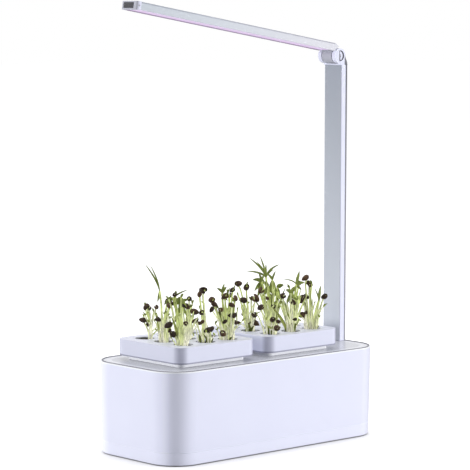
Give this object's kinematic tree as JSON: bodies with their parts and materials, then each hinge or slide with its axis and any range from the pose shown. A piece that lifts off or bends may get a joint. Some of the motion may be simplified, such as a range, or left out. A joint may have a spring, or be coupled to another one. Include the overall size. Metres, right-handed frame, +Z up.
{
  "type": "countertop hydroponic garden",
  "caption": "Rounded water tank with lift-out planting trays of sprouts under a grow lamp that folds down on a plug-in mast.",
  "frame": {"origin": "on the worktop under the middle of the casing", "axes": "+X along the casing towards the mast, +Y across it, +Z up; the lamp reaches from the mast towards -X"},
  "size_m": [0.268, 0.12, 0.4139],
  "materials": {
    "casing_white": "smooth, bluish white",
    "tank_white": "smooth",
    "lid_grey": "polished, reflects the trays",
    "seal_grey": "soft, matte",
    "rubber_dark": "matte",
    "screw_steel": "plain",
    "socket_steel": "plain",
    "contact_brass": "plated",
    "black_plastic": "moulded",
    "board_green": "circuit board",
    "board_white": "aluminium-backed circuit board",
    "strip_grey": "satin",
    "trim_dark": "satin",
    "knuckle_grey": "satin",
    "lamp_silver": "satin",
    "diffuser_clear": "milky, translucent",
    "key_dark": "smooth",
    "led_red": "clear lens",
    "led_blue": "clear lens",
    "led_white": "clear lens",
    "sponge_brown": "damp, porous",
    "sprout_green": "soft green stems and leaves with dark seed hulls"
  },
  "bodies": {
    "base": {"outer_casing": "casing_white", "bottom_cover": "casing_white", "rubber_feet": "rubber_dark", "bottom_screws": "screw_steel", "water_tank": "tank_white", "lid": "lid_grey", "lid_seal": "seal_grey", "mast_socket": "socket_steel", "socket_screws": "screw_steel", "socket_contacts": "contact_brass", "inlet_jack": "black_plastic", "inlet_nut": "socket_steel", "inlet_pin": "contact_brass", "power_board": "board_green"},
    "mast": {"mast_tube": "casing_white", "mast_strip": "strip_grey", "mast_rear_trim": "trim_dark", "mast_plug": "socket_steel", "mast_screws": "screw_steel", "mast_contacts": "contact_brass", "mast_head": "casing_white", "hinge_pin": "screw_steel", "hinge_caps": "casing_white", "hinge_washers": "rubber_dark"},
    "lamp": {"lamp_knuckle": "knuckle_grey", "knuckle_screws": "screw_steel", "lamp_housing": "lamp_silver", "led_board": "board_white", "red_leds": "led_red", "blue_leds": "led_blue", "white_leds": "led_white", "diffuser": "diffuser_clear", "end_cap": "casing_white", "end_cap_screws": "screw_steel", "key_light": "led_white", "key_switch": "black_plastic"},
    "key": {"lamp_key": "key_dark"},
    "left_tray": {"tray_left": "casing_white", "basket_left": "tank_white", "sponges_left": "sponge_brown", "sprouts_left": "sprout_green"},
    "right_tray": {"tray_right": "casing_white", "basket_right": "tank_white", "sponges_right": "sponge_brown", "sprouts_right": "sprout_green"}
  },
  "joints": [
    {"name": "mast_lift", "type": "slide", "parent": "base", "child": "mast", "axis": [0, 0, 1], "range_m": [0, 0.03]},
    {"name": "lamp_fold", "type": "hinge", "parent": "mast", "child": "lamp", "pos_m": [0.121, 0, 0.3625], "axis": [0, -1, 0], "range_deg": [0, 99], "deforming": ["sprouts_left", "sprouts_right"]},
    {"name": "lamp_key_press", "type": "slide", "parent": "lamp", "child": "key", "axis": [0.9877, 0, -0.1564], "range_m": [0, 0.001], "stiffness_N_per_m": 400, "springref_m": -0.001},
    {"name": "left_tray_lift", "type": "slide", "parent": "base", "child": "left_tray", "axis": [0, 0, 1], "range_m": [0, 0.09]},
    {"name": "right_tray_lift", "type": "slide", "parent": "base", "child": "right_tray", "axis": [0, 0, 1], "range_m": [0, 0.09]}
  ]
}
